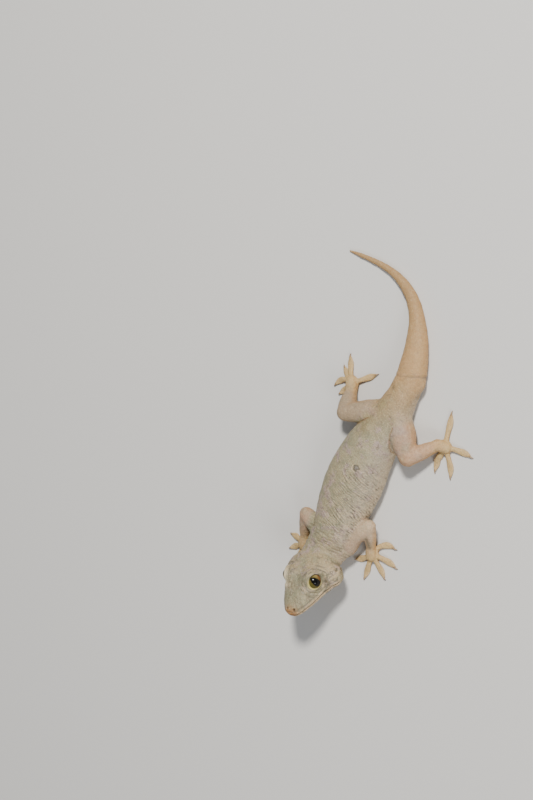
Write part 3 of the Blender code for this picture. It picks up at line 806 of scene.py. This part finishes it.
# %% The regions, each a number from 0 to 1
masks = {
    "limb": on_limb,
    "feet": feet,
    "tail": smooth(-8, 2.5, boundary) * (1 - on_limb),
    "tail_end": smooth(66, 92, along) * on_tail,
    # painted shade along the groove at the regrown tail's joint
    "seam_shade": bell(boundary, 0.3) * near_tail * smooth(-1, 1.5, across),
    "head": on_head,
    "rear": rear,
    "flank": smooth(0.5, 6.5, spine_arc) * on_trunk,
    "flank_edge": smooth(0.55, 0.05, up_share) * smooth(0, 3, spine_arc) * on_trunk * (1 - upper_arm),
    "olive": bell(distance_from_above(points, *OLIVE_LINE), 2) * on_trunk,
    "under": smooth(-0.2, -0.85, up_share) * on_trunk + smooth(-1, -2.4, up) * on_head,
    "wrinkled": wrinkled,
    "eye_rings": bell(from_eye - 3.9, 1.5) * beside_eye,
    "cheek": cheek * smooth(3, 4.2, from_eye) * smooth(1.2, 1.7, line_height),
    "snout_top": on_head * (1 - smooth(10, 13, back)) * smooth(-1, 1.5, up),
    "snout": np.exp(-snout_away.sum(1)) * on_head,
    "lips": (1 - smooth(0.75, 1.05, np.abs(line_height))) * on_mouth,
    # painted highlight along the right brow
    "brow": bell(distance_from_above(points, *BROW_HIGHLIGHT_LINE), 1.2) * smooth(13.5, 15.5, height) * on_head,
    "rim": left_low + right_low + 0.5 * right_high,
    "pads": feet * (1 - smooth(0.35, 0.9, height)),
    "yellow": on_limb * (1 - smooth(2.4, 6, height)) * (1 - feet),
    "arm": around(points, arm["middle"], 5) * smooth(3, 5.5, height),
    # painted shade on the limbs of the right side
    "right_limb_shade": on_limb * smooth(-5, -9, points[:, 0]) * smooth(4, 12, points[:, 1]) * (1 - feet),
    "shin": (1 - smooth(1.5, 4, from_shin)) * on_limb * smooth(1.8, 3.2, height),
    "warm": warm * (1 - 0.7 * upper_arm),
    # painted shade in folds, creases and pits
    "crease_shade": crease_shade,
    # painted shade in the mouth line, the nostrils and the ear openings
    "dark": 0.9 * nostril_hollow + ear_hollow + mouth * 0.8,
    "spot_ring": spot_ring / RING_REACH,
    "highlight_ring": highlight_ring / RING_REACH,
}
# The directions that fine lines run in.
runs = {
    "wrinkle_run": (slant, 0.24 * spine_arc, 0.2 * wander(points, size=6, seed=61)),
    "ring_run": round_the_eyes(),
    "cheek_run": (0.2 * back - 0.15 * up, 0.75 * up + 0.45 * back, 0.1 * side),
    "snout_run": (side, 0.15 * back, 0.6 * up),
}


# %% Keep them on the points
def keep(piece, name, values, kind="FLOAT", key="value"):
    attribute = piece.data.attributes.new(name, kind, "POINT")
    attribute.data.foreach_set(key, np.ravel(values).astype(np.float32))


for name, values in masks.items():
    keep(skin, name, np.clip(values, 0, 1))
    print(name, round(float(np.mean(values)), 3))
for name, parts in runs.items():
    keep(skin, name, np.stack(parts, axis=1).astype(np.float32) * MM, "FLOAT_VECTOR", "vector")

# %% [markdown]
# ## Shader maths as plain expressions
#
# A wrapper round a node socket lets the material be written as sums: each operator adds one Math node and
# wires it. Colours go through a Mix node instead, because a Math node would turn them grey.


# %% One small class for sockets
class Wire:
    """A socket of a material, with the operators and patterns that the expressions below use."""

    def __init__(self, tree, socket=None):
        self.tree, self.socket = tree, socket

    def fill(self, node, values):
        """Fills the sockets of a node with values or wires."""
        for key, value in values.items():
            if isinstance(value, Wire):
                self.tree.links.new(value.socket, node.inputs[key])
            else:
                node.inputs[key].default_value = value

    def node(self, kind, inputs={}, output=0, **settings):
        """Adds a node, sets and fills it, and returns one output."""
        new = self.tree.nodes.new("ShaderNode" + kind)
        for key, value in settings.items():
            setattr(new, key, value)
        self.fill(new, inputs)
        return Wire(self.tree, new.outputs[output])

    def mask(self, name):
        return self.node("Attribute", output=2, attribute_name=name)

    def run(self, name):
        return self.node("Attribute", output=1, attribute_name=name)

    def noise(self, size, detail=2, roughness=0.5):
        """Cloudy noise from 0 to 1 over this place or run, in blobs of about size millimetres."""
        inputs = {"Vector": self, "Scale": 1 / (size * MM), "Detail": detail, "Roughness": roughness}
        return self.node("TexNoise", inputs)

    def cells(self, size, feature="F1"):
        return self.node("TexVoronoi", {"Vector": self, "Scale": 1 / (size * MM)}, feature=feature)

    def between(self, low, high):
        """0 below low, 1 above high, soft between."""
        inputs = {"Value": self, "From Min": low, "From Max": high}
        return self.node("MapRange", inputs, interpolation_type="SMOOTHSTEP")

    def blend(self, first, second):
        """The first colour where this is 0, the second where it is 1."""
        first, second = ((*shade, 1) if isinstance(shade, tuple) else shade for shade in (first, second))
        return self.node("Mix", {0: self, 6: first, 7: second}, output=2, data_type="RGBA")


def operator(operation, swapped=False):
    """A method that adds one Math node, with its two sides as they stand or swapped."""

    def method(self, other):
        first, second = (other, self) if swapped else (self, other)
        return self.node("Math", {0: first, 1: second}, operation=operation)

    return method


for sign, operation in (("add", "ADD"), ("sub", "SUBTRACT"), ("mul", "MULTIPLY")):
    setattr(Wire, f"__{sign}__", operator(operation))
    setattr(Wire, f"__r{sign}__", operator(operation, swapped=True))


def new_material(name):
    """A material, a wire to start expressions from, its places, and its main shader."""
    material = bpy.data.materials.new(name)
    material.use_nodes = True
    start = Wire(material.node_tree)
    return material, start, start.node("TexCoord", output=3), material.node_tree.nodes["Principled BSDF"]


# %% [markdown]
# ## The skin's material
#
# Skin is matt, a little uneven in gloss, and covered with scales less than half a millimetre across.
# Rounded cells make the scales, as bump, and darker grooves between them and a few faint flecks break up
# the colour. The colours are laid on one after another, each by its own region, like thin washes of paint.
# Some washes are painted light: shade in folds, creases, pits and openings and on the right limbs, and
# highlights on fold crests, the right brow and the spot on the back.
# A little light passes through the thin skin of toes and tail, which is a constant here.

# %% Colours, as light reflected in red, green and blue
BACK = (0.347, 0.308, 0.183)
BACK_GREEN = (0.255, 0.25, 0.155)
BACK_LILAC = (0.39, 0.295, 0.265)
FLANK = (0.395, 0.335, 0.244)
OLIVE = (0.3, 0.24, 0.11)
BACK_DARK = (0.11, 0.095, 0.06)
HEAD = (0.36, 0.292, 0.162)
REAR = (0.38, 0.236, 0.102)
LIMB = (0.405, 0.268, 0.178)
# Painted shade: the limbs on the right side are darkened as if turned away from the light.
RIGHT_LIMB_SHADE = (0.31, 0.235, 0.145)
SHIN = (0.58, 0.3, 0.115)
FOOT = (0.56, 0.385, 0.155)
TAIL = (0.465, 0.277, 0.116)
TAIL_END = (0.33, 0.2, 0.08)
SNOUT = (0.45, 0.19, 0.045)
SNOUT_STREAK = (0.19, 0.06, 0.022)
LIP = (0.6, 0.43, 0.24)
PALE = (0.6, 0.46, 0.29)
WARM = (0.52, 0.26, 0.08)
# painted highlight on the brow over the right eye
BROW_HIGHLIGHT = (0.8, 0.68, 0.46)
RIM = (0.66, 0.56, 0.23)
LINE = (0.17, 0.12, 0.075)
# Painted shade: near black in the mouth line, the nostrils and the ear openings.
OPENING_SHADE = (0.02, 0.012, 0.008)
SPOT = (0.15, 0.135, 0.14)
SCALE_SIZE, GRAIN_SIZE = 0.42, 0.9

# %% Patterns of the skin
skin_material, start, place, shader = new_material("gecko skin")
on, run = start.mask, start.run
clouds = place.noise(5, 3)
patches = place.noise(3.1, 3, 0.6)
grain = place.noise(GRAIN_SIZE, 4, 0.65)
fine = place.noise(0.45, 3, 0.6)
scales = place.cells(SCALE_SIZE)
folds, rings = run("wrinkle_run").noise(0.5), run("ring_run").noise(0.5)
cheek_rows, streaks = run("cheek_run").noise(0.6), run("snout_run").noise(0.7)
# Fine folds on the trunk, round the eyes and over the cheeks: painted shade in their troughs, painted
# highlight on their crests.
lined = on("wrinkled") * (0.25 + patches.between(0.34, 0.58) * 0.75)
fold_shade = folds.between(0.53, 0.62) * lined + rings.between(0.52, 0.66) * on("eye_rings")
fold_shade = fold_shade + cheek_rows.between(0.55, 0.68) * on("cheek") * 0.8
fold_highlight = folds.between(0.47, 0.38) * lined + rings.between(0.48, 0.36) * on("eye_rings")
trunk = (1 - on("limb")) * (1 - on("tail"))
fleck = place.noise(1.2, 3, 0.6).between(0.56, 0.66) * patches.between(0.42, 0.6)
speck = place.cells(1.6).between(0.15, 0.06)
freckles = place.noise(1).between(0.57, 0.64) * on("head") * (1 - on("under"))
grooves = scales.between(0.28, 0.6) * 0.24 + fine.between(0.46, 0.7) * 0.26
grainy = 0.12 + on("wrinkled") * 0.18 + on("limb") * 0.08
spot, highlight_crescent = on("spot_ring") * RING_REACH, on("highlight_ring") * RING_REACH
spot_edge = spot.between(0.45, 0.72) * spot.between(1.16, 0.98)
# painted highlight: a pale crescent on one side of the spot
spot_highlight = highlight_crescent.between(0.85, 1) * highlight_crescent.between(1.32, 1.14) * spot.between(1, 1.16)

# %% Lay the colours on, one after another
layers = (
    (on("flank") * 0.9, FLANK),
    (on("head"), HEAD),
    (clouds.between(0.42, 0.66) * (1 - on("flank") * 0.6), BACK_GREEN),
    (patches.between(0.5, 0.66) * 0.95, BACK_LILAC),
    (on("rear") * (0.75 + patches * 0.4), REAR),
    (on("olive") * clouds.between(0.3, 0.6) * 0.75, OLIVE),
    (on("snout_top") * 0.65, BACK_GREEN),
    (on("snout_top") * streaks.between(0.5, 0.72) * 0.45, LINE),
    (on("under") * 0.75, PALE),
    (on("cheek") * 0.55 + on("flank_edge") * 0.6, PALE),
    (on("tail") * (0.85 + clouds * 0.2), TAIL),
    (on("tail_end") * 0.55, TAIL_END),
    (on("limb"), LIMB),
    (clouds.between(0.48, 0.66) * (on("limb") * 0.5), BACK_LILAC),
    (patches.between(0.5, 0.68) * (on("limb") * 0.35), BACK_GREEN),
    (on("arm") * 0.7, PALE),
    # painted shade on the limbs of the right side
    (on("right_limb_shade") * 0.8, RIGHT_LIMB_SHADE),
    (on("shin") * 0.45, SHIN),
    (on("yellow") * 0.8 + on("feet") * 0.85, FOOT),
    (on("warm") * 0.5, WARM),
    (on("pads") * 0.45, PALE),
    (on("lips") * 0.7, LIP),
    ((on("snout") * (0.4 + grain)).between(0.05, 1.05), SNOUT),
    (on("snout") * streaks.between(0.54, 0.66) * 0.6, SNOUT_STREAK),
    (fleck * (0.2 + trunk * 0.45) + speck * trunk * 0.35 + freckles * 0.4, BACK_DARK),
    (grooves * (0.5 + trunk * 0.5), LINE),
    (fine.between(0.46, 0.3) * (0.12 + trunk * 0.18), PALE),
    (grain.between(0.52, 0.64) * grainy, LINE),
    (grain.between(0.48, 0.36) * grainy, PALE),
    # painted highlight on the crests of fine folds
    (fold_highlight * 0.55, PALE),
    # painted shade in the troughs of fine folds
    (fold_shade * 0.84, BACK_DARK),
    # painted shade in folds, creases and pits
    (on("crease_shade") * (0.55 + fine * 0.4), BACK_DARK),
    # painted shade along the groove at the regrown tail's joint
    (on("seam_shade") * 0.5, LINE),
    (spot.between(1.05, 0.8) * 0.7, SPOT),
    (spot_edge * (0.4 + fine * 0.9), BACK_DARK),
    # painted highlight on one side of the spot
    (spot_highlight * 0.55, PALE),
    # painted highlight along the right brow
    (on("brow") * 0.8, BROW_HIGHLIGHT),
    (on("rim") * 0.8, RIM),
    # painted shade in the mouth line, the nostrils and the ear openings
    (on("dark"), OPENING_SHADE),
)
colour = BACK
for amount, shade in layers:
    colour = amount.blend(colour, shade)
print(len(layers), "layers of colour")

# %% Put the material on the skin
height = 1 - scales.between(0, 0.75) + grain * 0.6 + fine * 0.4 + fold_highlight * 0.8 - fold_shade * 1.2
looks = {
    "Base Color": colour,
    "Roughness": 0.5 + grain * 0.2 - trunk * 0.04,
    "Normal": start.node("Bump", {"Height": height, "Strength": 0.8, "Distance": 0.1 * MM}),
    "Subsurface Weight": 0.1,
    "Subsurface Radius": (1, 0.45, 0.25),
    "Subsurface Scale": 0.5 * MM,
    "Specular IOR Level": 0.38,
}
start.fill(shader, looks)
skin.data.materials.clear()
skin.data.materials.append(skin_material)
skin.data.shade_smooth()
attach(skin, "root")
SKIN_NODES = [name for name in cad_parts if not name.startswith("eye")]
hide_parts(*SKIN_NODES)
print("the skin stands for", len(SKIN_NODES), "nodes")

# %% [markdown]
# ## The eyes
#
# The eyeball is one glossy ball: a clear scale over a gold and olive iris with fine dark veins and a black
# upright pupil, a narrow slit in bright light and a wide oval here. Its colours are mixed from numbers kept
# on the ball, such as how far a point lies from the pupil's middle. The pupil is colour only: a real hole
# would show no more under the clear coat.

# %% Sizes and colours of the eyes
PUPIL_HALF = (1.02, 1.95)
PUPIL_LEAN = -0.12
CORNEA_LIFT, CORNEA_REACH = 0.28, 1.5
LOBE_DEPTH, LOBE_GAP = 0.03, 0.8  # the pupil's edge waves a little
EYE_RINGS, EYE_ROUND = 90, 128
IRIS_OLIVE = (0.105, 0.092, 0.02)
IRIS_BROWN = (0.19, 0.072, 0.022)
IRIS_GOLD = (0.33, 0.245, 0.09)
IRIS_LIGHT = (0.62, 0.54, 0.22)
# The veins' colour, also used as painted shade round the ball's edge.
IRIS_VEIN_AND_EDGE_SHADE = (0.06, 0.036, 0.012)
PUPIL_BLACK = (0.002, 0.002, 0.002)


# %% Shape an eye
def make_eye(name, side_sign):
    centre, look = eye_place(side_sign)
    upward = np.array([0, PUPIL_LEAN, 1])
    upward = unit(upward - look * (upward @ look))
    forward = np.cross(upward, look) * side_sign
    sweep = np.radians(np.linspace(1, 179, EYE_RINGS))
    turn = np.arange(EYE_ROUND) * 2 * np.pi / EYE_ROUND
    ring = EYE_RADIUS * np.sin(sweep)[:, None]
    depth = np.repeat((EYE_RADIUS * np.cos(sweep))[:, None], EYE_ROUND, axis=1)
    depth += CORNEA_LIFT * bell(ring, CORNEA_REACH) * (depth > 0)
    x, y = ring * np.cos(turn), ring * np.sin(turn)
    offset = depth[..., None] * look + x[..., None] * forward + y[..., None] * upward
    eye = closed_mesh(name, moved(HEAD_TO_PART, centre + offset))
    pupil = np.hypot(x / PUPIL_HALF[0], y / PUPIL_HALF[1])
    pupil += LOBE_DEPTH * np.cos(y * 2 * np.pi / LOBE_GAP)
    keep(eye, "pupil", pupil + 3 * (depth < 0))
    keep(eye, "rim", ring / EYE_RADIUS + (depth < 0))
    keep(eye, "rear", offset[..., 1] / EYE_RADIUS * 0.5 + 0.5)
    keep(eye, "upper", offset[..., 2] / EYE_RADIUS * 0.5 + 0.5)
    return eye


# %% Mix the eye's colours
eye_material, start, place, shader = new_material("gecko eye")
value = start.mask
veins = place.noise(0.35, 4, 0.7)
web = place.cells(0.33, "DISTANCE_TO_EDGE").between(0.06, 0)
colour = (value("upper") + veins * 0.3).between(0.78, 1.02).blend(IRIS_BROWN, IRIS_GOLD)
colour = (value("rear") * 1.2 + veins * 0.5).between(0.76, 1.22).blend(IRIS_OLIVE, colour)
colour = (veins.between(0.5, 0.75) * 0.6 + web * 0.5).blend(colour, IRIS_VEIN_AND_EDGE_SHADE)
colour = (value("pupil").between(1.55, 1) * 0.5).blend(colour, IRIS_VEIN_AND_EDGE_SHADE)
# painted shade: the ball darkens towards its edge, where the rim of skin meets it
colour = value("rim").between(0.78, 0.9).blend(colour, IRIS_VEIN_AND_EDGE_SHADE)
front = value("rear").between(0.52, 0.36)
colour = (value("rim").between(0.8, 0.86) * front).blend(colour, IRIS_LIGHT)
colour = value("pupil").between(1.05, 0.98).blend(colour, PUPIL_BLACK)
looks = {
    "Base Color": colour,
    "Roughness": 0.3,
    "Specular IOR Level": 0.05,
    "Coat Weight": 0.26,
    "Coat Roughness": 0.02,
}
start.fill(shader, looks)

# %% Place both eyes
for name, side_sign in (("eye_left", 1), ("eye_right", -1)):
    eye = make_eye(name + "_ball", side_sign)
    eye.data.materials.append(eye_material)
    eye.data.shade_smooth()
    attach(eye, "root")
    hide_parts(name)
print("eyes made,", EYE_RADIUS * 2, "mm across")

# %% [markdown]
# ## The claws
#
# Each toe ends in a small hooked claw of horn that leaves the toe above its pad. A claw is a short tapering
# tube bent downwards, its horn mottled pale and dark.

# %% Sizes of a claw
CLAW_RINGS, CLAW_ROUND = 18, 16
CLAW_RADIUS, CLAW_POINT = 0.3, 0.05
CLAW_NARROW = 0.8  # its width over its height
CLAW_HEIGHT, CLAW_ARCH, CLAW_DROP = 0.66, 0.22, 0.58


# %% Shape the claws
def make_claw(name, palm, tip):
    shares = np.array([CLAW_START, 1])
    (base, end), _ = toe_line(palm, tip, shares)
    forward = unit(end - base)
    run = np.linspace(0, 1, CLAW_RINGS)
    centres = base + forward * (run * lengths(end - base))[:, None]
    centres[:, 2] = CLAW_HEIGHT + CLAW_ARCH * np.sin(run * np.pi * 0.8) - CLAW_DROP * run**2.2
    directions = np.gradient(centres, axis=0)
    size = CLAW_RADIUS * (1 - run) ** 0.7 + CLAW_POINT
    return closed_mesh(name, rings_round(centres, directions, size * CLAW_NARROW, size, size, CLAW_ROUND))


# %% Horn for the claws
HORN_PALE, HORN_DARK = (0.42, 0.27, 0.13), (0.2, 0.12, 0.06)
claw_material, start, place, shader = new_material("claw horn")
horn = place.noise(0.5, 3).between(0.3, 0.7).blend(HORN_PALE, HORN_DARK)
start.fill(shader, {"Base Color": horn, "Roughness": 0.35})

# %% Put the claws on
claws = []
for limb in LIMBS:
    for number, tip in enumerate(TOE_TIPS[limb], start=1):
        claw = make_claw(f"claw_{limb}_{number}", LIMBS[limb]["palm"], tip)
        claw.data.materials.append(claw_material)
        claw.data.shade_smooth()
        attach(claw, "root")
        claws.append(claw)
print(len(claws), "claws")

# %% [markdown]
# ## Floor, light and camera
#
# A pale floor and soft lamps show the form without hiding it. The camera stands where the photograph was
# taken from, seen from the animal: behind its left shoulder and high up.

# %% The floor
FLOOR_SIZE = 3
bpy.ops.mesh.primitive_plane_add(size=FLOOR_SIZE, location=(0, 0, 0))
floor = bpy.context.object
floor.name = "floor"
floor_material, start, _, shader = new_material("pale floor")
start.fill(shader, {"Base Color": (0.62, 0.61, 0.59, 1), "Roughness": 0.8})
floor.data.materials.append(floor_material)
floor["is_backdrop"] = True


# %% The lamps
def lamp(name, place, size, power, colour=(1, 1, 1)):
    light = bpy.data.lights.new(name, "AREA")
    light.shape = "DISK"
    light.size = size
    light.energy = power
    light.color = colour
    holder = bpy.data.objects.new(name, light)
    holder.location = place
    holder.rotation_euler = (-Vector(place)).to_track_quat("-Z", "Y").to_euler()
    bpy.context.scene.collection.objects.link(holder)


lamp("key lamp", (0.02, 0.56, 0.74), 0.14, 12.3, (1, 0.97, 0.92))
lamp("fill lamp", (0.75, -0.15, 0.5), 0.4, 3.5, (0.97, 0.98, 1))
world = bpy.data.worlds.new("soft room")
world.use_nodes = True
sky = {"Color": (0.85, 0.88, 0.92, 1), "Strength": 0.32}
Wire(world.node_tree).fill(world.node_tree.nodes["Background"], sky)
bpy.context.scene.world = world

# %% The camera
CAMERA_PLACE = (180.68, 169.85, 415.18)
CAMERA_RIGHT = (0.7031, 0.4393, -0.5592)
CAMERA_UP = (-0.5525, 0.8326, -0.0405)
PICTURE_HEIGHT = 800
FOCAL_PIXELS = 1556
right = Vector(CAMERA_RIGHT).normalized()
behind = right.cross(Vector(CAMERA_UP)).normalized()
above = behind.cross(right)
camera_data = bpy.data.cameras.new("camera")
camera_data.sensor_fit = "VERTICAL"
camera_data.sensor_height = 24
camera_data.lens = FOCAL_PIXELS / PICTURE_HEIGHT * camera_data.sensor_height
camera_data.clip_start = 0.01
camera = bpy.data.objects.new("camera", camera_data)
turn = Matrix((right, above, behind)).transposed().to_4x4()
camera.matrix_world = Matrix.Translation(Vector(CAMERA_PLACE) * MM) @ turn
bpy.context.scene.collection.objects.link(camera)
bpy.context.scene.camera = camera

# %% [markdown]
# ## Measure and finish
#
# The skin must not outgrow the solids, so the box of the solids and the box of the finished model are
# printed side by side.

# %% Write both boxes
bpy.context.view_layer.update()
dressed_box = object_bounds()
sizes = {"cad": [list(corner) for corner in cad_box], "visual": [list(corner) for corner in dressed_box]}
print(json.dumps(sizes))
